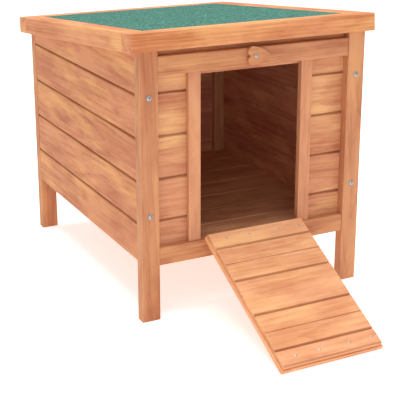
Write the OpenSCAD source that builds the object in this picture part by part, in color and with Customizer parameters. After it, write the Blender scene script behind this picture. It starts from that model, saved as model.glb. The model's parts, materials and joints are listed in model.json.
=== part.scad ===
// Small pent-roofed rabbit hutch of stained pine boards.
// A felted lid is hinged at the back and a drop-down door serves as the ramp.
// Origin on the ground, at the middle of the front left leg's foot. +X right, +Y to the back, +Z up.

/* [Body] */
// Width over the outer faces of the legs
body_w = 392; // [340:1:480]
// Depth over the outer faces of the legs
body_d = 484; // [400:1:590]
// Height of the roof's front edge
front_h = 450; // [400:1:560]
// Height of the walls' lower edge above the ground
leg_h = 96; // [80:1:120]

/* [Roof] */
// Fall of the roof from front to back
roof_fall = 50; // [30:1:60]
// How far the roof passes each side wall
overhang_side = 14; // [6:1:30]
// How far the roof passes the front legs
overhang_front = 4; // [2:1:12]
// How far the roof passes the rear legs
overhang_rear = 22; // [20:1:40]
// Thickness of the roof frame, seen from the side
roof_t = 28; // [22:1:36]
// Width of the roof frame's boards, seen from above
roof_board_w = 34; // [28:1:45]
// Thickness of the deck panel under the felt
deck_t = 6; // [4:0.5:9]
// Thickness of the roofing felt
felt_t = 2; // [1:0.5:3]
// Width of the battens that carry the deck
roof_batten_w = 22; // [16:1:34]

/* [Legs and walls] */
// Width of a leg, seen from the front
post_w = 30; // [24:1:38]
// Depth of a leg, seen from the side
post_t = 18; // [15:1:26]
// Thickness of the wall planks
plank_t = 8; // [6:0.5:10]
// Height of the top side plank at its low rear end
top_plank_rear_h = 20; // [12:1:34]
// What is trimmed off the lowest plank
plank_trim = 5; // [0:1:12]
// Chamfer along the planks' outer edges
plank_chamfer = 2.4; // [0.8:0.2:3]
// Depth of the upright battens in the corners
batten_d = 14; // [12:1:20]

/* [Front and back frames] */
// Height of the four cross rails
rail_h = 29; // [24:1:36]
// Thickness of the cross rails
rail_t = 13; // [12:0.5:15]
// How far the rails stand back from the legs' faces
rail_set = 1; // [0.5:0.5:3]
// Gap between the header rail and the roof frame
header_gap = 8.5; // [5:0.5:14]
// How far the bottom rails reach below the walls
rail_drop = 7; // [4:1:12]

/* [Doorway] */
// Width of the doorway
door_w = 176; // [150:1:205]
// Sideways offset of the doorway's middle
door_x = -6; // [-12:1:12]
// Width of the door jambs
jamb_w = 20; // [16:1:26]
// How far the jambs stand back from the rails
jamb_set = 4; // [2:0.5:5]
// How far the lintel hangs below the header as the door's stop
stop_drop = 6; // [4:1:10]

/* [Floor] */
// Height of the floor's top above the walls' lower edge
floor_rise = 12.5; // [10:0.5:16]
// Thickness of the floor planks
floor_t = 8; // [6:0.5:10]
// Number of floor planks
floor_planks_n = 7; // [5:1:9]
// Height of the bearers under the floor
bearer_h = 12; // [10:1:18]
// Width of the bearers under the floor
bearer_w = 18; // [14:1:24]

/* [Ramp] */
// Clearance between the ramp and the doorway, each side
ramp_side_gap = 1.5; // [1:0.25:3]
// Clearance between the closed ramp and the rails
ramp_end_gap = 2; // [1.5:0.25:3]
// Thickness of the ramp's planks
ramp_plank_t = 6.5; // [5:0.5:7]
// Width of the short plank at the hinge
ramp_first_w = 33; // [24:1:40]
// Width of the short plank at the foot
ramp_last_w = 28; // [24:1:40]
// Width of the ramp's stiles
stile_w = 24; // [18:1:32]
// Width of the ramp's cross rails
ramp_rail_w = 26; // [22:1:32]
// How far the ramp's frame stands out past the planks at the sides and the foot
ramp_reveal = 3; // [1:0.5:5]

/* [Hinges and fittings] */
// Radius of the hinge barrels
barrel_r = 2.4; // [2:0.1:3]
// Radius of the hinge pins
hinge_pin_r = 1.2; // [0.9:0.1:1.3]
// Length of a hinge along its pin
hinge_len = 36; // [28:1:50]
// Width of a hinge leaf from the pin
leaf_w = 16; // [13:1:18]
// Thickness of a hinge leaf
leaf_t = 1.2; // [0.8:0.1:1.6]
// Distance from the ramp's side to the middle of its hinge
ramp_hinge_in = 31.5; // [26:0.5:45]
// Distance from the middle to each roof hinge
roof_hinge_x = 110; // [70:1:120]
// Length of the heart button from its pivot to its tip
heart_tip = 24.5; // [22:0.5:27]
// Radius of the heart button's two lobes
heart_lobe_r = 7.7; // [7:0.1:8.5]
// Thickness of the heart button
heart_t = 6; // [5:0.5:8]
// Radius of the leg screws' heads
screw_head_r = 4.2; // [3:0.1:4.5]
// Radius of the leg screws' shanks
screw_r = 1.9; // [1.5:0.1:2.2]
// How far the upper leg screws sit below the legs' tops
screw_drop = 68.5; // [60:0.5:110]
// How far the lower leg screws sit above the walls' lower edge
screw_rise = 75; // [40:1:100]

/* [Hidden] */
$fn = 40;
HALF_W = body_w / 2;
HALF_D = body_d / 2;
SIDES = [-1, 1];

// Roof: a frame tilted about its front top edge
roof_w = body_w + 2 * overhang_side;
roof_d = body_d + overhang_front + overhang_rear;
roof_y0 = -HALF_D - overhang_front;
slope = atan(roof_fall / roof_d);
roof_len = roof_d / cos(slope);
felt_set = 0.5;
lid_gap = 1;
deck_top = -felt_set - felt_t;
roof_inner_w = roof_w - 2 * roof_board_w;
roof_inner_len = roof_len - 2 * roof_board_w;
roof_batten_gap = 1.5;
roof_batten_h = roof_t + deck_top - deck_t - roof_batten_gap;

// Front and back frames, measured in depth from the front rails' faces
front_y = -HALF_D + rail_set;
panel_y = HALF_D - rail_set - rail_t;
wall_end_y = HALF_D - rail_set - rail_t - plank_t;
rail_len = body_w - 2 * post_w;
bottom_rail_z = leg_h - rail_drop;
bottom_rail_top = bottom_rail_z + rail_h;
header_top = under_z(front_y) - header_gap;
header_z = header_top - rail_h;
back_rail_top = under_z(HALF_D) - lid_gap;
lintel_z = header_z - stop_drop;

// Planks: four full rows and a top row that follows the roof
ROWS = 5;
row_h = (under_z(HALF_D - post_t) - top_plank_rear_h - leg_h + plank_trim) / 4;
wall_depth = body_d - 2 * post_t;
wall_x = HALF_W - rail_set - plank_t;
jamb_cover = 4;
plank_seam = 0.2;

// Floor
floor_top = leg_h + floor_rise;
floor_depth = 2 * wall_end_y;
floor_pitch = floor_depth / floor_planks_n;

// Ramp, drawn closed and then turned down about its hinge pin
ramp_w = door_w - 2 * ramp_side_gap;
ramp_hinge_x = ramp_w / 2 - ramp_hinge_in;
ramp_len = header_z - bottom_rail_top - 2 * ramp_end_gap;
stop_clear = 0.5;
ramp_frame_t = rail_t - ramp_plank_t - stop_clear;
ramp_z = bottom_rail_top + ramp_end_gap;
ramp_pin_y = front_y - barrel_r;
ramp_pin_z = bottom_rail_top + ramp_end_gap / 2;
ramp_reach = ramp_z + ramp_len - ramp_pin_z;
ramp_dip = asin(ramp_pin_z / norm([ramp_reach, barrel_r])) + atan(barrel_r / ramp_reach);
ramp_open = 90 + ramp_dip;
ramp_planked = ramp_len - ramp_reveal;
ramp_mid_w = (ramp_planked - ramp_first_w - ramp_last_w) / 3;
ramp_starts = [0, for (i = [0:3]) ramp_first_w + i * ramp_mid_w, ramp_planked];
ramp_groove = 1;
nail_head_r = 1.7;
nail_head_h = 0.6;
nail_r = 0.8;
nail_len = 10;
nail_spread = [-0.33, -0.1, 0.2, 0.42];

// Hinges: three knuckles on one pin
knuckle_gap = 0.3;
pin_clear = 0.05;
knuckle_len = hinge_len / 3;
leaf_hole_x = hinge_len / 3;
leaf_hole_y = leaf_w * 0.62;
leaf_screw_r = 1.1;
leaf_screw_head_r = 2.1;
leaf_screw_head_h = 0.8;
leaf_screw_len = 5;
roof_pin_y = HALF_D - rail_set + barrel_r;
roof_pin_z = under_z(roof_pin_y) - barrel_r / cos(slope);

// Heart button and its screw
heart_back = 0.5;
heart_z = header_z + rail_h / 2 + 2.5;
lobe_x = -4.9;
lobe_z = 6.9;
heart_edge_in = 0.15;
heart_side_r = 45;
heart_screw_r = 1.8;
heart_screw_head_r = 3.2;
heart_screw_head_h = 1.6;
heart_screw_clear = 0.08;
heart_screw_bite = 11;
head_gap = 0.2;

// Leg screws
screw_head_h = 2;
screw_bite = 10;
hole_clear = 0.05;

// Height of the roof frame's underside at a depth
function under_z(y) = front_h - (y - roof_y0) * tan(slope) - roof_t / cos(slope);
// Height at which plank row i starts
function row_z(i) = i == 0 ? leg_h : leg_h - plank_trim + i * row_h;
// Height at which a plank row stops, before the roof cuts it
function row_top(i) = i == ROWS - 1 ? front_h : row_z(i + 1) - plank_seam;
// Middle of the arc from the heart's tip round to its upper lobe, which it ends just inside
function heart_side_middle() =
    let (dx = lobe_x - heart_tip, d = norm([dx, lobe_z]), apart = heart_side_r - heart_lobe_r + heart_edge_in,
        bend = acos((heart_side_r ^ 2 + d ^ 2 - apart ^ 2) / (2 * heart_side_r * d)),
        turn = atan2(lobe_z, dx) + bend)
    [heart_tip + heart_side_r * cos(turn), heart_side_r * sin(turn)];

// Moves a piece drawn flat into the tilted roof
module in_roof() {
    translate([0, roof_y0, front_h]) rotate([-slope, 0, 0]) children();
}

// Turns the closed ramp down until its foot meets the ground
module in_ramp() {
    translate([door_x, ramp_pin_y, ramp_pin_z]) rotate([ramp_open, 0, 0])
        translate([0, -ramp_pin_y, -ramp_pin_z]) children();
}

// Everything below the roof frame, less a clearance
module below_roof(clear) {
    far = 2 * (body_d + body_w);
    translate([0, roof_y0, front_h]) rotate([-slope, 0, 0])
        translate([-far / 2, -far / 2, -far - roof_t - clear]) cube([far, far, far]);
}

// A board along X: chamfered edges on its outer face, which looks to -Y
module board_x(length, height, thick, chamfer) {
    translate([-length / 2, 0, 0]) rotate([90, 0, 90]) linear_extrude(length)
        polygon([[0, chamfer], [chamfer, 0], [thick, 0], [thick, height],
            [chamfer, height], [0, height - chamfer]]);
}

// A board along Y, its outer face looking to -X
module board_y(length, height, thick, chamfer) {
    rotate([0, 0, -90]) board_x(length, height, thick, chamfer);
}

// Round hole or shank along Y, from a face inwards
module along_y(r, length) {
    rotate([-90, 0, 0]) cylinder(r = r, h = length);
}

// Pan-headed screw whose head sits on a face that looks to -Y
module pan_screw(head_r, head_h, shank_r, shank_len) {
    rotate([90, 0, 0]) {
        cylinder(r1 = head_r, r2 = head_r * 0.72, h = head_h);
        translate([0, 0, -shank_len]) cylinder(r = shank_r, h = shank_len);
    }
}

// Places children at the four leg screws of the front (side -1) or the back (side 1)
module at_post_screws(side) {
    for (x = SIDES, z = [under_z(side * HALF_D) - screw_drop, leg_h + screw_rise])
        translate([x * (HALF_W - post_w / 2), side * HALF_D, z]) rotate([0, 0, side > 0 ? 180 : 0])
            children();
}

// Legs
module post(sx, sy) {
    color("sandybrown") difference() {
        intersection() {
            translate([sx < 0 ? -HALF_W : HALF_W - post_w, sy < 0 ? -HALF_D : HALF_D - post_t, 0])
                cube([post_w, post_t, front_h]);
            below_roof(0);
        }
        at_post_screws(sy) along_y(screw_r + hole_clear, post_t + 1);
    }
}

// Cross rails of the front and back frames
module rail(y, z) {
    translate([-rail_len / 2, y, z]) cube([rail_len, rail_t, rail_h]);
}

module header_rail() {
    color("sandybrown") difference() {
        rail(front_y, header_z);
        translate([door_x, front_y - 1, heart_z])
            along_y(heart_screw_r + hole_clear, heart_screw_bite + 1);
    }
}

module bottom_rail() {
    color("sandybrown") difference() {
        rail(front_y, bottom_rail_z);
        at_ramp_hinges() plate_leaf_down_front() leaf_holes();
    }
}

module back_top_rail() {
    color("sandybrown") difference() {
        intersection() {
            translate([-rail_len / 2, panel_y, back_rail_top - rail_h])
                cube([rail_len, rail_t, 2 * rail_h]);
            below_roof(lid_gap);
        }
        at_roof_hinges() plate_leaf_down_back() leaf_holes();
    }
}

module back_bottom_rail() {
    color("sandybrown") rail(panel_y, bottom_rail_z);
}

// Board behind the header, between the short planks: closes the gap under the roof and stops the ramp
module lintel_board() {
    length = door_w + 2 * jamb_cover - 2 * plank_seam;
    color("peru") intersection() {
        translate([door_x - length / 2, front_y + rail_t, lintel_z])
            cube([length, plank_t, front_h - lintel_z]);
        below_roof(lid_gap);
    }
}

module door_jamb(side) {
    x0 = side < 0 ? door_x - door_w / 2 - jamb_w : door_x + door_w / 2;
    color("burlywood") translate([x0, front_y + jamb_set, bottom_rail_top])
        cube([jamb_w, rail_t - jamb_set, header_z - bottom_rail_top]);
}

// Planks of the side walls
module side_plank(side, i) {
    color("sandybrown") intersection() {
        mirror([side > 0 ? 1 : 0, 0, 0]) translate([-wall_x - plank_t, 0, row_z(i)])
            board_y(wall_depth, row_top(i) - row_z(i), plank_t, plank_chamfer);
        below_roof(lid_gap);
    }
}

// Planks of the back wall
module back_plank(i) {
    color("peru") intersection() {
        translate([0, panel_y, row_z(i)]) rotate([0, 0, 180])
            board_x(rail_len, row_top(i) - row_z(i), plank_t, plank_chamfer);
        below_roof(lid_gap);
    }
}

// Short planks beside the doorway, five solids in one node
module front_planks(side) {
    inner_x = door_x + side * (door_w / 2 + jamb_cover);
    outer_x = side * rail_len / 2;
    color("peru") for (i = [0:ROWS - 1]) intersection() {
        translate([(inner_x + outer_x) / 2, front_y + rail_t, row_z(i)])
            board_x(abs(outer_x - inner_x), row_top(i) - row_z(i), plank_t, plank_chamfer);
        below_roof(lid_gap);
    }
}

// Upright battens in the four corners, which the leg screws bite into
module wall_battens() {
    color("peru") for (sx = SIDES, sy = SIDES) difference() {
        intersection() {
            translate([sx < 0 ? -wall_x : HALF_W - post_w,
                sy < 0 ? post_t - HALF_D : HALF_D - post_t - batten_d, floor_top])
                cube([wall_x - HALF_W + post_w, batten_d, front_h]);
            below_roof(lid_gap);
        }
        at_post_screws(sy) along_y(screw_r + hole_clear, post_t + screw_bite);
    }
}

// Floor planks with chamfered top edges, front edge to back edge
module floor_planks() {
    color("peru") for (i = [0:floor_planks_n - 1])
        translate([0, i * floor_pitch - wall_end_y, floor_top]) rotate([-90, 0, 0])
            board_x(2 * wall_x, floor_pitch - plank_seam, floor_t, plank_chamfer);
}

module floor_bearers() {
    color("peru") for (side = SIDES)
        translate([side < 0 ? -wall_x : wall_x - bearer_w, -wall_end_y, floor_top - floor_t - bearer_h])
            cube([bearer_w, floor_depth, bearer_h]);
}

module post_screws() {
    color("silver") for (side = SIDES) at_post_screws(side)
        pan_screw(screw_head_r, screw_head_h, screw_r, post_t + screw_bite);
}

// Turn button: a heart lying on its side, two round lobes and two curved sides that meet in its tip
module heart_button() {
    middle = heart_side_middle();
    color("sandybrown") translate([door_x, front_y - heart_back, heart_z]) rotate([90, 0, 0]) difference() {
        union() {
            for (side = SIDES) translate([lobe_x, side * lobe_z, 0]) cylinder(r = heart_lobe_r, h = heart_t);
            intersection() {
                translate([middle[0], middle[1], 0]) cylinder(r = heart_side_r, h = heart_t);
                translate([middle[0], -middle[1], 0]) cylinder(r = heart_side_r, h = heart_t);
                translate([lobe_x, -heart_tip, 0]) cube([2 * heart_tip, 2 * heart_tip, heart_t]);
            }
        }
        translate([0, 0, -1]) cylinder(r = heart_screw_r + heart_screw_clear, h = heart_t + 2);
    }
}

module heart_screw() {
    reach = heart_back + heart_t + head_gap;
    color("silver") translate([door_x, front_y - reach, heart_z])
        pan_screw(heart_screw_head_r, heart_screw_head_h, heart_screw_r, reach + heart_screw_bite);
}

// Hinge leaf: pin along X through the origin, wood on the +Z side, the leaf running to +Y.
// The plate has the two outer knuckles and the strap has the middle one.
module hinge_leaf(is_plate) {
    knuckles = is_plate ? SIDES : [0];
    own_len = knuckle_len - knuckle_gap;
    difference() {
        union() {
            translate([-hinge_len / 2, barrel_r + knuckle_gap, barrel_r - leaf_t])
                cube([hinge_len, leaf_w - barrel_r - knuckle_gap, leaf_t]);
            for (k = knuckles) translate([k * knuckle_len - own_len / 2, 0, 0]) {
                rotate([0, 90, 0]) cylinder(r = barrel_r, h = own_len);
                translate([0, 0, barrel_r - leaf_t]) cube([own_len, leaf_w / 2, leaf_t]);
            }
        }
        translate([-hinge_len, 0, 0]) rotate([0, 90, 0])
            cylinder(r = hinge_pin_r + pin_clear, h = 2 * hinge_len);
        leaf_holes();
    }
}

// Holes through a leaf and into the wood behind it
module leaf_holes() {
    for (k = SIDES) translate([k * leaf_hole_x, leaf_hole_y, barrel_r - leaf_t - 1])
        cylinder(r = leaf_screw_r + hole_clear, h = leaf_t + 1 + leaf_screw_len);
}

module leaf_screws() {
    for (k = SIDES) translate([k * leaf_hole_x, leaf_hole_y, barrel_r - leaf_t]) rotate([90, 0, 0])
        pan_screw(leaf_screw_head_r, leaf_screw_head_h, leaf_screw_r, leaf_t + leaf_screw_len);
}

module hinge_pin() {
    translate([-hinge_len / 2, 0, 0]) rotate([0, 90, 0]) cylinder(r = hinge_pin_r, h = hinge_len);
}

module at_ramp_hinges() {
    for (side = SIDES) translate([door_x + side * ramp_hinge_x, ramp_pin_y, ramp_pin_z]) children();
}

module at_roof_hinges() {
    for (side = SIDES) translate([side * roof_hinge_x, roof_pin_y, roof_pin_z]) children();
}

// Leaf hanging down with the wood behind it, at the front and at the back
module plate_leaf_down_front() {
    rotate([-90, 0, 0]) children();
}

module plate_leaf_down_back() {
    rotate([90, 0, 0]) mirror([0, 1, 0]) children();
}

// Leaf on the closed ramp's outer face
module strap_leaf_up() {
    for (side = SIDES) translate([side * ramp_hinge_x, ramp_pin_y, ramp_pin_z])
        mirror([0, 0, 1]) rotate([-90, 0, 0]) children();
}

module ramp_hinge_plates() {
    color("silver") at_ramp_hinges() plate_leaf_down_front() hinge_leaf(true);
}

module ramp_hinge_pins() {
    color("silver") at_ramp_hinges() hinge_pin();
}

module ramp_hinge_straps() {
    color("silver") in_ramp() strap_leaf_up() hinge_leaf(false);
}

module ramp_hinge_screws() {
    color("silver") in_ramp() strap_leaf_up() leaf_screws();
}

module roof_hinge_plates() {
    color("silver") at_roof_hinges() plate_leaf_down_back() hinge_leaf(true);
}

module roof_hinge_pins() {
    color("silver") at_roof_hinges() hinge_pin();
}

module roof_hinge_straps() {
    color("silver") at_roof_hinges() rotate([-slope, 0, 0]) hinge_leaf(false);
}

module roof_hinge_screws() {
    color("silver") at_roof_hinges() rotate([-slope, 0, 0]) leaf_screws();
}

module hinge_plate_screws() {
    color("silver") {
        at_ramp_hinges() plate_leaf_down_front() leaf_screws();
        at_roof_hinges() plate_leaf_down_back() leaf_screws();
    }
}

// Ramp plank i, closed: its walking face looks to +Y, and two of the planks have a middle groove
module ramp_plank(i) {
    width = ramp_starts[i + 1] - ramp_starts[i];
    face_y = front_y + rail_t - stop_clear;
    is_grooved = i == 1 || i == 3;
    color("navajowhite") in_ramp() difference() {
        translate([0, face_y, ramp_z + ramp_starts[i]]) rotate([0, 0, 180])
            board_x(ramp_w - 2 * ramp_reveal, width, ramp_plank_t, plank_chamfer);
        if (is_grooved)
            translate([-ramp_w, face_y, ramp_z + ramp_starts[i] + width / 2])
                rotate([45, 0, 0]) translate([0, -ramp_groove / sqrt(2), -ramp_groove / sqrt(2)])
                    cube([2 * ramp_w, sqrt(2) * ramp_groove, sqrt(2) * ramp_groove]);
        at_ramp_nails() rotate([180, 0, 0]) along_y(nail_r + hole_clear, nail_len);
    }
}

// Places children at the ramp's nails, on the walking face of the closed ramp
module at_ramp_nails() {
    for (s = nail_spread, z = [ramp_first_w / 2, ramp_planked - ramp_last_w / 2])
        translate([s * ramp_w, front_y + rail_t - stop_clear, ramp_z + z]) children();
}

module ramp_nails() {
    color("silver") in_ramp() at_ramp_nails() rotate([0, 0, 180])
        pan_screw(nail_head_r, nail_head_h, nail_r, nail_len - 1);
}

// Piece of the frame behind the ramp's planks, with its nail and hinge screw holes
module ramp_frame_piece(x, z, width, height) {
    color("burlywood") in_ramp() difference() {
        translate([x, front_y, ramp_z + z]) cube([width, ramp_frame_t, height]);
        at_ramp_nails() rotate([180, 0, 0]) along_y(nail_r + hole_clear, nail_len);
        strap_leaf_up() leaf_holes();
    }
}

module ramp_stile(side) {
    ramp_frame_piece(side < 0 ? -ramp_w / 2 : ramp_w / 2 - stile_w, 0, stile_w, ramp_len);
}

module ramp_rail(z) {
    ramp_frame_piece(stile_w - ramp_w / 2, z, ramp_w - 2 * stile_w, ramp_rail_w);
}

// Roof frame boards: the front and rear ones run the full width
module roof_cross_board(y) {
    color("sandybrown") in_roof() translate([-roof_w / 2, y, -roof_t])
        cube([roof_w, roof_board_w, roof_t]);
}

module roof_board_front() {
    roof_cross_board(0);
}

module roof_board_rear() {
    difference() {
        roof_cross_board(roof_len - roof_board_w);
        at_roof_hinges() rotate([-slope, 0, 0]) leaf_holes();
    }
}

module roof_side_board(side) {
    color("sandybrown") in_roof()
        translate([side < 0 ? -roof_w / 2 : roof_w / 2 - roof_board_w, roof_board_w, -roof_t])
            cube([roof_board_w, roof_inner_len, roof_t]);
}

// Panel of the given thickness inside the roof frame, its top at height z
module roof_panel(z, thick) {
    in_roof() translate([-roof_inner_w / 2, roof_board_w, z - thick])
        cube([roof_inner_w, roof_inner_len, thick]);
}

module roof_deck() {
    color("tan") roof_panel(deck_top, deck_t);
}

module roof_felt() {
    color("mediumaquamarine") roof_panel(-felt_set, felt_t);
}

module roof_battens() {
    color("peru") in_roof() for (i = [1:2])
        translate([-roof_inner_w / 2, roof_board_w + i * roof_inner_len / 3 - roof_batten_w / 2,
            deck_top - deck_t - roof_batten_h]) cube([roof_inner_w, roof_batten_w, roof_batten_h]);
}

// The pieces are drawn about the middle of the four legs and then moved onto the origin
translate([HALF_W - post_w / 2, HALF_D - post_t / 2, 0]) {
    post(-1, -1);  // post_front_left
    post(1, -1);  // post_front_right
    post(-1, 1);  // post_rear_left
    post(1, 1);  // post_rear_right
    header_rail();
    bottom_rail();
    back_top_rail();
    back_bottom_rail();
    lintel_board();
    door_jamb(-1);  // door_jamb_left
    door_jamb(1);  // door_jamb_right
    for (i = [0:ROWS - 1]) {
        side_plank(-1, i);
        side_plank(1, i);
        back_plank(i);
        ramp_plank(i);
    }
    front_planks(-1);  // front_planks_left
    front_planks(1);  // front_planks_right
    wall_battens();
    floor_bearers();
    floor_planks();
    post_screws();
    heart_screw();
    heart_button();
    ramp_hinge_plates();
    ramp_hinge_pins();
    roof_hinge_plates();
    roof_hinge_pins();
    hinge_plate_screws();
    ramp_stile(-1);  // ramp_stile_left
    ramp_stile(1);  // ramp_stile_right
    ramp_rail(0);  // ramp_rail_hinge
    ramp_rail(ramp_len - ramp_rail_w);  // ramp_rail_foot
    ramp_nails();
    ramp_hinge_straps();
    ramp_hinge_screws();
    roof_board_front();
    roof_board_rear();
    roof_side_board(-1);  // roof_board_left
    roof_side_board(1);  // roof_board_right
    roof_deck();
    roof_felt();
    roof_battens();
    roof_hinge_straps();
    roof_hinge_screws();
}
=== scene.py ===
import json
import math
import random

import bmesh
import bpy
from mathutils import Matrix, Vector

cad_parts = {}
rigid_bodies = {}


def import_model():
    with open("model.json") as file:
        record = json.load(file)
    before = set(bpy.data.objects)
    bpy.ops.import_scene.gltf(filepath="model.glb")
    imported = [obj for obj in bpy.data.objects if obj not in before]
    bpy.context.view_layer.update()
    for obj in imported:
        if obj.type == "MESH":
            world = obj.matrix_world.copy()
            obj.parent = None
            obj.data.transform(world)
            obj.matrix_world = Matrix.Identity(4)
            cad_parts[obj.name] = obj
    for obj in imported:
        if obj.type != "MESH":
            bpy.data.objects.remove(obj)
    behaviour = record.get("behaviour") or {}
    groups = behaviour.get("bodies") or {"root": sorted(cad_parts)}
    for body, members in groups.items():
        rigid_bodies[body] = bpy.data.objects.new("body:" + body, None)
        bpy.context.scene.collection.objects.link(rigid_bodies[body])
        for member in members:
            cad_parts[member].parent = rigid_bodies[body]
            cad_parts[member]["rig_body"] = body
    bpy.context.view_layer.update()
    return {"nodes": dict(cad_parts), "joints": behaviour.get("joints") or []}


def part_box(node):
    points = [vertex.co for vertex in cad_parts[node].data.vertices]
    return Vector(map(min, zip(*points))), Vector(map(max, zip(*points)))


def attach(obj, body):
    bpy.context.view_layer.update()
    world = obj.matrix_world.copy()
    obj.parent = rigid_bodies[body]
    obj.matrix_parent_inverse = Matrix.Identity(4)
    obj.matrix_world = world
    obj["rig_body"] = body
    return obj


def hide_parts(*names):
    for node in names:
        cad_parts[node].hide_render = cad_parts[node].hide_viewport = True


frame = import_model()

# The roof's fall from front to back and its depth, in metres like every length here
ROOF_FALL = 0.050
ROOF_DEPTH = 0.510
ROOF_SLOPE = math.atan(ROOF_FALL / ROOF_DEPTH)
ramp_joint = next(joint for joint in frame["joints"] if joint["child"] == "ramp")
RAMP_DIP = math.radians(ramp_joint["range_deg"][1] - 90)
# How far the boards of each body lie turned about X from square, at rest
TILT = {"hutch": 0.0, "heart": 0.0, "lid": -ROOF_SLOPE, "ramp": RAMP_DIP}
# The middle of the four legs' outline, on the ground
MIDDLE = (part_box("post_front_left")[0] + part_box("post_rear_right")[1]) / 2
MIDDLE.z = 0

# Corners closer together than this are one corner
WELD = 2e-6
# A point this close to a screw's end is on the end face
END = 1e-5
# Faces that meet flatter than FLAT are one face, edges sharper than SHARP are rounded, and the
# shading breaks at edges sharper than CREASE
FLAT = math.radians(0.6)
SHARP = math.radians(28)
CREASE = math.radians(50)

# Which axes run along the grain, across it and into the board
GRAIN_ORDER = {"x": (0, 1, 2), "y": (1, 0, 2), "z": (2, 0, 1)}
# Where in its tree a board was sawn: at random along it, to the side of the pith and out from it
ALONG_TREE = 9
BESIDE_PITH = 0.030
OUT_FROM_PITH = (0.022, 0.075)
# How far a board's grain leans at most, per unit of length
LEAN_SIDE = 0.012
LEAN_DEEP = 0.045

# Widths to which the pieces' edges are rounded
POST_ROUND = 0.0012
RAIL_ROUND = 0.0018
JAMB_ROUND = 0.0008
PLANK_ROUND = 0.0007
RAMP_PLANK_ROUND = 0.0003
ROOF_ROUND = 0.0014
BOARD_ROUND = 0.0009
FELT_ROUND = 0.0006
PIN_ROUND = 0.0002
HEART_ROUND = 0.0012


# ---------------------------------------------------------------- shader helpers

def linear(red, green, blue):
    """8-bit display colour as linear RGBA."""
    def one(c):
        c /= 255
        return c / 12.92 if c <= 0.04045 else ((c + 0.055) / 1.055) ** 2.4
    return (one(red), one(green), one(blue), 1)


class Graph:
    """A material and short ways to add its nodes."""

    def __init__(self, name):
        self.material = bpy.data.materials.new(name)
        self.material.use_nodes = True
        self.tree = self.material.node_tree
        self.tree.nodes.clear()
        self.shader = self.add("ShaderNodeBsdfPrincipled")
        out = self.add("ShaderNodeOutputMaterial")
        self.tree.links.new(self.shader.outputs["BSDF"], out.inputs["Surface"])

    def add(self, kind, values=None, **settings):
        node = self.tree.nodes.new(kind)
        for key, value in settings.items():
            setattr(node, key, value)
        for key, value in (values or {}).items():
            self.put(node.inputs[key], value)
        return node

    def put(self, socket, value):
        if isinstance(value, bpy.types.NodeSocket):
            self.tree.links.new(value, socket)
        else:
            socket.default_value = value

    def math(self, operation, *values):
        node = self.add("ShaderNodeMath", operation=operation)
        for socket, value in zip(node.inputs, values):
            self.put(socket, value)
        return node.outputs[0]

    def vector(self, operation, *values):
        node = self.add("ShaderNodeVectorMath", operation=operation)
        for socket, value in zip(node.inputs, values):
            self.put(socket, value)
        return node.outputs["Vector"]

    def total(self, first, *others):
        for other in others:
            first = self.math("ADD", first, other)
        return first

    def attribute(self, name, output="Vector"):
        return self.add("ShaderNodeAttribute", attribute_name=name).outputs[output]

    def noise(self, vector, scale, detail, rough=0.5):
        return self.add("ShaderNodeTexNoise", {"Vector": vector, "Scale": scale, "Detail": detail,
                                               "Roughness": rough}).outputs["Fac"]

    def drawn_out(self, vector, along, across, detail, rough=0.5):
        """Noise with this many cells to the metre along the first axis and across it."""
        return self.noise(self.vector("MULTIPLY", vector, (along, across, across)), 1.0, detail, rough)

    def band(self, value, low, high, out_low=0.0, out_high=1.0):
        return self.add("ShaderNodeMapRange", {"Value": value, "From Min": low, "From Max": high,
                                               "To Min": out_low, "To Max": out_high},
                        interpolation_type="SMOOTHSTEP").outputs["Result"]

    def mix(self, share, first, second, blend="MIX"):
        """Mix of two colours. The node has a set of sockets for each type of data: 0 is the factor,
        and of the colours 6 and 7 go in and 2 comes out."""
        node = self.add("ShaderNodeMix", data_type="RGBA", blend_type=blend)
        for number, value in ((0, share), (6, first), (7, second)):
            self.put(node.inputs[number], value)
        return node.outputs[2]

    def bump(self, height, distance, strength, normal=None):
        node = self.add("ShaderNodeBump", {"Height": height, "Distance": distance, "Strength": strength})
        if normal is not None:
            self.put(node.inputs["Normal"], normal)
        return node.outputs["Normal"]

    def edge_distance(self):
        """How far a point on a piece's surface is from the nearest edge of the piece's box: the
        middle one of its distances from the box's three pairs of sides."""
        gap = self.vector("SUBTRACT", self.attribute("half_size"),
                          self.vector("ABSOLUTE", self.attribute("local")))
        x, y, z = self.add("ShaderNodeSeparateXYZ", {"Vector": gap}).outputs
        least = self.math("MINIMUM", self.math("MINIMUM", x, y), z)
        most = self.math("MAXIMUM", self.math("MAXIMUM", x, y), z)
        return self.math("SUBTRACT", self.math("SUBTRACT", self.total(x, y, z), least), most)


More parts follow.
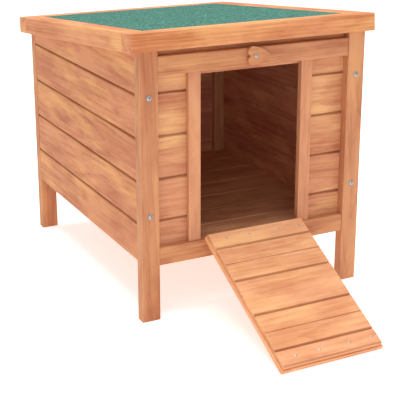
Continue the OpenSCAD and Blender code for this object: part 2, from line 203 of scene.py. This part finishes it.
def wood(name, light, dark, warm, knots, ring_share=0.30, groove=0.0, inner=None):
    """Stained pine: growth rings, fibres, knots and cloudy patches where the stain took unevenly.
    Its edges carry a painted highlight, a pale band, and its grooves carry painted shade.
    inner tints the faces that look into the cabin: painted light, standing in for how light falls there."""
    rough = 0.62
    # Strength of the painted highlight along the edges, weaker on boards with grooves
    edge_highlight = 0.35 if groove else 0.5
    g = Graph(name)
    # Dark core of the knots, and the colour of the painted shade in grooves
    deep = (dark[0] * 0.42, dark[1] * 0.30, dark[2] * 0.28, 1)
    # The pale colour of the painted highlight along the edges
    paler = tuple(min(1, c * 1.10 + 0.03) for c in light[:3]) + (1,)
    grain, tone = g.attribute("grain"), g.attribute("tone", "Fac")
    slow = g.drawn_out(grain, 3.0, 26.0, 2.0)
    patch = g.drawn_out(grain, 5.0, 19.0, 3.0, 0.6)
    cloud = g.drawn_out(g.vector("ADD", grain, (3.1, 1.7, 0.9)), 9.0, 27.0, 4.0, 0.6)
    fibre = g.drawn_out(grain, 22.0, 900.0, 4.0, 0.6)
    streak = g.drawn_out(grain, 6.0, 160.0, 3.0, 0.55)
    # a knot sits in the middle of each cell, with darker wood and bent rings about it
    cells = g.add("ShaderNodeTexVoronoi", {"Vector": g.vector("MULTIPLY", grain, (5.5, 13.0, 13.0)),
                                           "Scale": 1.0, "Randomness": 1.0})
    from_knot = cells.outputs["Distance"]
    knot_near = g.math("MULTIPLY", g.band(from_knot, 0.30, 0.0), knots)
    knot_rim = g.math("MULTIPLY", g.band(from_knot, 0.17, 0.08), 0.5 * knots)
    knot = g.math("MULTIPLY", g.band(from_knot, 0.075, 0.050), knots)
    # rings run along the board and bend round a knot
    bend = g.add("ShaderNodeCombineXYZ", {"Y": g.math("MULTIPLY", knot_near, 0.010),
                                          "Z": g.math("MULTIPLY", slow, 0.009)}).outputs[0]
    ring_at = g.vector("MULTIPLY", g.vector("ADD", grain, bend), (0.05, 1.0, 1.0))
    rings = g.add("ShaderNodeTexWave", {"Vector": ring_at, "Scale": 58.0, "Distortion": 2.6, "Detail": 2.0,
                                        "Detail Scale": 0.55, "Detail Roughness": 0.55},
                  wave_type="RINGS", rings_direction="X", wave_profile="SAW").outputs["Fac"]
    late = g.math("POWER", rings, 2.6)
    # the share of dark stain, about 0.16 where nothing adds to it
    share = g.total(0.16, g.math("MULTIPLY", late, ring_share),
                    g.band(streak, 0.33, 0.72, -0.12, 0.24),
                    g.band(fibre, 0.30, 0.75, -0.08, 0.14),
                    g.math("MULTIPLY", tone, 0.16),
                    g.band(cloud, 0.34, 0.66, -0.20, 0.42))
    warmth = g.band(g.math("ADD", patch, g.math("MULTIPLY", tone, 0.05)), 0.40, 0.66)
    base = g.mix(warmth, light, warm)
    color = g.mix(g.add("ShaderNodeClamp", {"Value": share}).outputs[0], base, dark)
    color = g.mix(knot_rim, color, dark)
    color = g.mix(g.math("MULTIPLY", knot, 0.6), color, deep)
    # Painted highlight: a pale band about 1.6 mm wide along the edges of the piece's box, its border ragged
    # with the streaks. The same band makes the edges a little less rough
    edge = g.math("ADD", g.edge_distance(), g.math("MULTIPLY", g.math("SUBTRACT", streak, 0.5), 0.0014))
    highlight_and_polish = g.band(edge, 0.0016, 0.0002)
    color = g.mix(g.math("MULTIPLY", highlight_and_polish, edge_highlight), color, paler)
    # Painted shade: the slanting faces of grooves are darkened towards the deep colour
    if groove:
        color = g.mix(g.math("MULTIPLY", g.attribute("groove", "Fac"), groove), color, deep)
    # Painted light: faces inside the cabin have their colour multiplied by the inner tint
    if inner:
        color = g.mix(g.attribute("inside", "Fac"), color, inner, "MULTIPLY")
    g.put(g.shader.inputs["Base Color"], color)
    g.put(g.shader.inputs["Roughness"], g.math("ADD", g.band(fibre, 0.3, 0.75, rough - 0.08, rough + 0.10),
                                               g.math("MULTIPLY", highlight_and_polish, -0.06)))
    g.shader.inputs["Specular IOR Level"].default_value = 0.25
    height = g.math("ADD", g.math("MULTIPLY", fibre, 0.7), g.math("MULTIPLY", late, -0.45))
    height = g.math("SUBTRACT", height, g.math("MULTIPLY", knot, 0.5))
    g.put(g.shader.inputs["Normal"], g.bump(height, 0.00028, 0.55))
    return g.material


def mineral_felt(name):
    """Roofing felt with a bonded layer of coloured mineral grit."""
    g = Graph(name)
    place = g.attribute("local")
    grit = g.add("ShaderNodeTexVoronoi", {"Vector": place, "Scale": 620.0, "Randomness": 1.0})
    shade = g.add("ShaderNodeSeparateColor", {"Color": grit.outputs["Color"]}).outputs["Red"]
    blotch = g.noise(place, 95.0, 4.0, 0.65)
    clump = g.noise(place, 300.0, 3.0, 0.7)
    slow = g.noise(place, 9.0, 2.0)
    color = g.mix(g.band(shade, 0.1, 0.95), linear(40, 88, 76), linear(70, 119, 106))
    color = g.mix(g.band(clump, 0.46, 0.58, 0.0, 0.8), color, linear(84, 134, 120))
    color = g.mix(g.band(blotch, 0.50, 0.60, 0.0, 0.6), color, linear(44, 86, 74))
    color = g.mix(g.band(slow, 0.35, 0.75, 0.0, 0.25), color, linear(72, 116, 104))
    color = g.mix(g.band(shade, 0.90, 0.96, 0.0, 0.85), color, linear(140, 178, 166))
    edge = g.band(g.edge_distance(), 0.003, 0.0004)
    color = g.mix(g.math("MULTIPLY", edge, 0.5), color, linear(70, 96, 86))
    g.put(g.shader.inputs["Base Color"], color)
    g.put(g.shader.inputs["Roughness"], g.band(shade, 0.0, 1.0, 0.78, 0.95))
    g.shader.inputs["Specular IOR Level"].default_value = 0.08
    fine = g.bump(g.math("MULTIPLY", grit.outputs["Distance"], -1.0), 0.0007, 0.7)
    g.put(g.shader.inputs["Normal"], g.bump(g.math("ADD", clump, blotch), 0.0012, 0.45, fine))
    return g.material


def metal(name, base, paler, rough):
    """Plated steel with cloudy plating, fine scratches and rubbed edges."""
    g = Graph(name)
    place = g.attribute("local")
    cloud = g.noise(place, 420.0, 4.0, 0.6)
    scratch = g.drawn_out(place, 250.0, 2600.0, 2.0)
    color = g.mix(g.band(cloud, 0.35, 0.7), base, paler)
    edge = g.band(g.edge_distance(), 0.0006, 0.0001)
    color = g.mix(g.math("MULTIPLY", edge, 0.5), color, linear(236, 236, 232))
    g.put(g.shader.inputs["Base Color"], color)
    g.shader.inputs["Metallic"].default_value = 1.0
    g.put(g.shader.inputs["Roughness"], g.math("ADD", g.band(cloud, 0.3, 0.7, rough - 0.06, rough + 0.10),
                                               g.band(scratch, 0.4, 0.7, -0.04, 0.06)))
    g.put(g.shader.inputs["Normal"], g.bump(scratch, 0.00004, 0.5))
    return g.material


# ---------------------------------------------------------------- mesh helpers

def islands(bm):
    """The separate solids of a mesh, as lists of vertices."""
    left, found = set(bm.verts), []
    for start in bm.verts:
        if start not in left:
            continue
        left.discard(start)
        group, queue = [], [start]
        while queue:
            vert = queue.pop()
            group.append(vert)
            for edge in vert.link_edges:
                other = edge.other_vert(vert)
                if other in left:
                    left.discard(other)
                    queue.append(other)
        found.append(group)
    return found


def node_mesh(node):
    """A CAD node's mesh with its split corners welded and its flat faces whole."""
    bm = bmesh.new()
    bm.from_mesh(frame["nodes"][node].data)
    bmesh.ops.remove_doubles(bm, verts=bm.verts, dist=WELD)
    bmesh.ops.dissolve_limit(bm, angle_limit=FLAT, verts=bm.verts, edges=bm.edges)
    return bm


def soften(bm, width, segments=2, shortest=0.004):
    """Rounds the sharp edges that are longer than the shortest."""
    sharp = [e for e in bm.edges if e.is_manifold and e.calc_length() > shortest
             and e.calc_face_angle() > SHARP]
    bmesh.ops.bevel(bm, geom=sharp, offset=width, offset_type="OFFSET", segments=segments, profile=0.5,
                    affect="EDGES", clamp_overlap=True)


def lay_grain(bm, name, tilt, grain):
    """Gives each solid its own coordinates: its place in its box, and its place in a tree."""
    local = bm.verts.layers.float_vector.new("local")
    half = bm.verts.layers.float_vector.new("half_size")
    along = bm.verts.layers.float_vector.new("grain")
    tone = bm.verts.layers.float.new("tone")
    order = GRAIN_ORDER[grain]
    for number, group in enumerate(islands(bm)):
        pick = random.Random(f"{name}/{number}")
        flat = [tilt.inverted() @ v.co for v in group]
        low = Vector(min(p[i] for p in flat) for i in range(3))
        high = Vector(max(p[i] for p in flat) for i in range(3))
        centre, size = (low + high) / 2, (high - low) / 2
        thin = size[order[1]] < size[order[2]]
        start = Vector((pick.uniform(-ALONG_TREE, ALONG_TREE), pick.uniform(-BESIDE_PITH, BESIDE_PITH),
                        pick.uniform(*OUT_FROM_PITH)))
        lean_side = pick.uniform(-LEAN_SIDE, LEAN_SIDE)
        lean_deep = pick.uniform(-LEAN_DEEP, LEAN_DEEP)
        shade = pick.uniform(-1, 1)
        for vert, point in zip(group, flat):
            rel = point - centre
            run, side, deep = (rel[i] for i in order)
            if thin:
                side, deep = deep, side
            vert[local] = rel
            vert[half] = size
            vert[along] = (run + start.x, side + start.y + run * lean_side, deep + start.z + run * lean_deep)
            vert[tone] = shade


def mark_faces(bm, tilt, body):
    """Marks the slanting faces of grooves, which get painted shade, and the hutch's upright faces that look
    to its middle, which get painted light.
    """
    groove = bm.faces.layers.float.new("groove")
    inside = bm.faces.layers.float.new("inside")
    for face in bm.faces:
        normal = tilt.inverted() @ face.normal
        # How much painted shade a face gets: full on faces slanting well off the board's axes, none on square
        # ones
        face[groove] = min(1.0, max(0.0, (0.95 - max(abs(c) for c in normal)) / 0.2))
        inward = MIDDLE - face.calc_center_median()
        inward.z = 0
        # Faces that get the painted-light tint inside the cabin
        faces_in = body == "hutch" and abs(normal.z) < 0.5 and normal.dot(inward.normalized()) > 0.5
        face[inside] = 1.0 if faces_in else 0.0


def add_piece(name, bm, body, material, nodes, grain="x", weighted=True):
    """Turns a mesh into a piece with its own wood or metal coordinates, riding on its body."""
    tilt = Matrix.Rotation(TILT[body], 3, "X")
    lay_grain(bm, name, tilt, grain)
    mark_faces(bm, tilt, body)
    mesh = bpy.data.meshes.new(name)
    bm.to_mesh(mesh)
    bm.free()
    mesh.materials.append(material)
    mesh.shade_smooth()
    mesh.set_sharp_from_angle(angle=CREASE)
    piece = bpy.data.objects.new(name, mesh)
    bpy.context.scene.collection.objects.link(piece)
    if weighted:
        normals = piece.modifiers.new("even_normals", "WEIGHTED_NORMAL")
        normals.keep_sharp = True
    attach(piece, body)
    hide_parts(*nodes)


def board(node, material, grain, width=BOARD_ROUND):
    """A CAD board with rounded edges and its own piece of grain."""
    bm = node_mesh(node)
    soften(bm, width)
    add_piece(f"{node}_wood", bm, frame["nodes"][node]["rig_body"], material, [node], grain)


def turned(profile, steps=32):
    """A mesh turned round +Z from (radius, height) points, the first and last on the axis."""
    bm = bmesh.new()
    rings = []
    for radius, height in profile:
        if radius == 0:
            rings.append([bm.verts.new((0, 0, height))])
        else:
            rings.append([bm.verts.new((radius * math.cos(2 * math.pi * k / steps),
                                        radius * math.sin(2 * math.pi * k / steps), height))
                          for k in range(steps)])
    for lower, upper in zip(rings, rings[1:]):
        for k in range(steps):
            n = (k + 1) % steps
            corners = [lower[k % len(lower)], lower[n % len(lower)],
                       upper[n % len(upper)], upper[k % len(upper)]]
            unique = list(dict.fromkeys(corners))
            if len(unique) > 2:
                bm.faces.new(unique)
    bmesh.ops.recalc_face_normals(bm, faces=bm.faces)
    return bm


def cross_cutter(reach, half_width, top, depth):
    """A plus-shaped, slightly tapered driver recess."""
    taper = 0.62
    arm = [(reach, -half_width), (reach, half_width), (half_width, half_width)]
    outline = []
    for _ in range(4):
        outline += arm
        arm = [(-y, x) for x, y in arm]
    bm = bmesh.new()
    upper = [bm.verts.new((x, y, top)) for x, y in outline]
    lower = [bm.verts.new((x * taper, y * taper, top - depth)) for x, y in outline]
    bm.faces.new(upper)
    bm.faces.new(lower[::-1])
    for k in range(len(outline)):
        n = (k + 1) % len(outline)
        bm.faces.new((upper[k], lower[k], lower[n], upper[n]))
    bmesh.ops.recalc_face_normals(bm, faces=bm.faces)
    return bm


def as_object(bm, name):
    """Puts a mesh into the scene as an object."""
    mesh = bpy.data.meshes.new(name)
    bm.to_mesh(mesh)
    bm.free()
    made = bpy.data.objects.new(name, mesh)
    bpy.context.scene.collection.objects.link(made)
    return made


def screw_shape(head_r, head_h, shank_r, length, recessed):
    """One screw or nail along +Z, its head's underside at z = 0."""
    rim = head_h * 0.34
    crown = head_h * 1.12
    dome = [(head_r * math.cos(t), rim + (crown - rim) * math.sin(t))
            for t in (math.radians(a) for a in range(0, 90, 12))]
    profile = [(0, -length), (shank_r * 0.6, -length), (shank_r, -length + shank_r), (shank_r, 0),
               (head_r * 0.94, 0), (head_r, rim * 0.35), *dome, (0, crown)]
    body = as_object(turned(profile), "screw_body")
    if recessed:
        cutter = as_object(cross_cutter(head_r * 0.56, head_r * 0.125, head_h * 1.6, head_h * 1.25), "recess")
        cut = body.modifiers.new("cut", "BOOLEAN")
        cut.operation, cut.solver, cut.object = "DIFFERENCE", "EXACT", cutter
    mesh = bpy.data.meshes.new_from_object(body.evaluated_get(bpy.context.evaluated_depsgraph_get()))
    bpy.data.objects.remove(body)
    if recessed:
        bpy.data.objects.remove(cutter)
    return mesh


def screw_axis(points):
    """A screw's direction, among the axes of the frame and of the tilted bodies: of those along
    which its points reach nearly furthest, the one along which they lie at the fewest heights."""
    choices = [Matrix.Rotation(tilt, 3, "X") @ Vector(unit)
               for tilt in sorted(set(TILT.values())) for unit in ((1, 0, 0), (0, 1, 0), (0, 0, 1))]

    def spread(axis):
        along = [p.dot(axis) for p in points]
        return max(along) - min(along)

    def heights(axis):
        return len({round(p.dot(axis), 5) for p in points})

    longest = max(spread(axis) for axis in choices)
    near = [axis for axis in choices if spread(axis) > longest * 0.9]
    return min(near, key=heights)


def fixings(node, material, recessed=True):
    """Screws or nails in place of a CAD node's, each where its own solid is. All have the shape
    that the first solid's measures give."""
    source = node_mesh(node)
    made, shape = bmesh.new(), None
    for number, group in enumerate(islands(source)):
        points = [v.co.copy() for v in group]
        centre = sum(points, Vector()) / len(points)
        axis = screw_axis(points)
        reach = [(p - centre).dot(axis) for p in points]
        wide = [(p - centre - axis * r).length for p, r in zip(points, reach)]
        top_r = max(w for w, r in zip(wide, reach) if r > max(reach) - END)
        foot_r = max(w for w, r in zip(wide, reach) if r < min(reach) + END)
        if top_r < foot_r:
            axis, reach, foot_r = -axis, [-r for r in reach], top_r
        head_r = max(wide)
        under = min(r for w, r in zip(wide, reach) if w > head_r * 0.98)
        if shape is None:
            shape = screw_shape(head_r, max(reach) - under, foot_r, under - min(reach), recessed)
        ends = [p for p, r in zip(points, reach) if r < min(reach) + END]
        middle = sum((p - axis * (p - centre).dot(axis) for p in ends), Vector()) / len(ends)
        turn = Matrix.Rotation(random.Random(f"{node}/{number}").uniform(0, math.pi / 2), 4, "Z")
        place = Matrix.Translation(middle + axis * under) @ axis.to_track_quat("Z", "Y").to_matrix().to_4x4()
        before = len(made.verts)
        made.from_mesh(shape)
        made.verts.ensure_lookup_table()
        bmesh.ops.transform(made, matrix=place @ turn, verts=made.verts[before:])
    source.free()
    add_piece(f"{node}_metal", made, frame["nodes"][node]["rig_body"], material, [node],
              weighted=False)


# ---------------------------------------------------------------- materials

frame_wood = wood("frame_pine", linear(198, 137, 96), linear(164, 97, 65), linear(207, 146, 97),
                  knots=0.4)
roof_wood = wood("roof_pine", linear(212, 144, 98), linear(179, 103, 61), linear(224, 162, 104), knots=0.4)
# Side, cladding and ramp pine get painted shade in their grooves; side and cladding pine also get a
# painted-light tint on faces inside the cabin
side_wood = wood("side_pine", linear(203, 134, 90), linear(171, 96, 59), linear(216, 153, 93),
                 knots=0.4, groove=0.26, inner=(1.16, 1.15, 1.50, 1))
clad_wood = wood("cladding_pine", linear(207, 145, 106), linear(175, 104, 72), linear(220, 165, 113),
                 knots=0.4, groove=0.26, inner=(1.10, 0.97, 1.06, 1))
jamb_wood = wood("jamb_pine", linear(205, 142, 105), linear(182, 116, 84), linear(210, 148, 105),
                 knots=0.0, ring_share=0.22)
ramp_wood = wood("ramp_pine", linear(228, 166, 123), linear(200, 128, 86), linear(233, 175, 121),
                 knots=0.0, ring_share=0.26, groove=0.42)
inner_wood = wood("inner_pine", linear(214, 152, 112), linear(176, 112, 78), linear(220, 160, 114),
                  knots=0.0, ring_share=0.22)
deck_wood = wood("deck_board", linear(206, 166, 120), linear(170, 126, 84), linear(212, 174, 124),
                 knots=0.0, ring_share=0.22)
felt_skin = mineral_felt("roof_felt")
zinc_skin = metal("zinc", linear(168, 171, 174), linear(200, 201, 200), 0.40)
steel_skin = metal("steel", linear(150, 154, 158), linear(184, 187, 188), 0.34)

# ---------------------------------------------------------------- pieces

for node in ("post_front_left", "post_front_right", "post_rear_left", "post_rear_right"):
    board(node, frame_wood, "z", POST_ROUND)
for node in ("header_rail", "bottom_rail", "back_top_rail", "back_bottom_rail"):
    board(node, frame_wood, "x", RAIL_ROUND)
for node in ("door_jamb_left", "door_jamb_right"):
    board(node, jamb_wood, "z", JAMB_ROUND)
for number in range(1, 6):
    board(f"left_plank_{number}", side_wood, "y", PLANK_ROUND)
    board(f"right_plank_{number}", side_wood, "y", PLANK_ROUND)
    board(f"back_plank_{number}", clad_wood, "x", PLANK_ROUND)
    board(f"ramp_plank_{number}", ramp_wood, "x", RAMP_PLANK_ROUND)
for node in ("front_planks_left", "front_planks_right"):
    board(node, clad_wood, "x", PLANK_ROUND)
board("lintel_board", clad_wood, "x")
board("wall_battens", inner_wood, "z")
board("floor_bearers", inner_wood, "y")
board("floor_planks", inner_wood, "x", PLANK_ROUND)
for node in ("ramp_stile_left", "ramp_stile_right"):
    board(node, ramp_wood, "y")
for node in ("ramp_rail_hinge", "ramp_rail_foot"):
    board(node, ramp_wood, "x")
for node in ("roof_board_front", "roof_board_rear"):
    board(node, roof_wood, "x", ROOF_ROUND)
for node in ("roof_board_left", "roof_board_right"):
    board(node, roof_wood, "y", ROOF_ROUND)
board("roof_deck", deck_wood, "x")
board("roof_battens", inner_wood, "x")

felt = node_mesh("roof_felt")
soften(felt, FELT_ROUND)
add_piece("roof_felt_sheet", felt, "lid", felt_skin, ["roof_felt"])

for node in ("ramp_hinge_plates", "ramp_hinge_straps", "roof_hinge_plates", "roof_hinge_straps"):
    leaf = node_mesh(node)
    add_piece(f"{node}_metal", leaf, frame["nodes"][node]["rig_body"], zinc_skin, [node])
for node in ("ramp_hinge_pins", "roof_hinge_pins"):
    pin = node_mesh(node)
    soften(pin, PIN_ROUND, shortest=0.0)
    add_piece(f"{node}_metal", pin, frame["nodes"][node]["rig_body"], steel_skin, [node])
for node in ("post_screws", "heart_screw", "hinge_plate_screws", "ramp_hinge_screws", "roof_hinge_screws"):
    fixings(node, steel_skin)
fixings("ramp_nails", steel_skin, recessed=False)

heart = node_mesh("heart_button")
soften(heart, HEART_ROUND, segments=3, shortest=0.0)
add_piece("heart_button_wood", heart, "heart", frame_wood, ["heart_button"])

# ---------------------------------------------------------------- floor, light and camera

stage = Graph("studio_floor")
sweep = stage.noise(stage.add("ShaderNodeNewGeometry").outputs["Position"], 1.2, 2.0)
stage.put(stage.shader.inputs["Base Color"], stage.mix(sweep, (0.93, 0.93, 0.93, 1), (0.96, 0.96, 0.96, 1)))
stage.shader.inputs["Roughness"].default_value = 0.9
stage.shader.inputs["Emission Color"].default_value = (1, 1, 1, 1)
stage.shader.inputs["Emission Strength"].default_value = 0.50
FLOOR_REACH = 40.0
FLOOR_DROP = 0.0002
ground = bmesh.new()
bmesh.ops.create_grid(ground, x_segments=8, y_segments=8, size=FLOOR_REACH)
floor = as_object(ground, "studio_floor")
floor.data.materials.append(stage.material)
floor.location.z = -FLOOR_DROP

bpy.context.scene.view_settings.view_transform = "Standard"
world = bpy.data.worlds.new("studio")
bpy.context.scene.world = world
world.use_nodes = True
background = world.node_tree.nodes["Background"]
background.inputs["Color"].default_value = (1.0, 1.0, 1.0, 1)
background.inputs["Strength"].default_value = 0.50


def area_light(name, place, size, power):
    """A square soft light of a size in metres and a power in watts, placed from the hutch's middle
    and aimed a little above the ground there."""
    target = Vector((0, 0, 0.2))
    lamp = bpy.data.lights.new(name, "AREA")
    lamp.shape, lamp.size, lamp.energy = "SQUARE", size, power
    made = bpy.data.objects.new(name, lamp)
    made.location = MIDDLE + Vector(place)
    made.rotation_euler = (target - Vector(place)).to_track_quat("-Z", "Y").to_euler()
    bpy.context.scene.collection.objects.link(made)


area_light("key", (-1.6, -2.2, 2.0), 1.8, 7)
area_light("fill", (2.2, -1.6, 1.3), 1.8, 3)
area_light("top", (0.0, 0.0, 2.6), 2.2, 76)
area_light("door", (-0.9, -2.4, 0.6), 1.2, 6.5)

# The camera stands to the left of the front, turned to the right by its yaw and down by its pitch
CAMERA_PLACE = Vector((-0.7926, -1.5996, 0.7143))
yaw = math.radians(27.1)
pitch = math.radians(16.98)
camera = bpy.data.cameras.new("camera")
camera.sensor_width = 36
camera.lens = 95.2
camera.shift_y = -0.1
camera_object = bpy.data.objects.new("camera", camera)
camera_object.location = MIDDLE + CAMERA_PLACE
look = Vector((math.sin(yaw) * math.cos(pitch), math.cos(yaw) * math.cos(pitch), -math.sin(pitch)))
camera_object.rotation_euler = look.to_track_quat("-Z", "Y").to_euler()
bpy.context.scene.collection.objects.link(camera_object)
bpy.context.scene.camera = camera_object
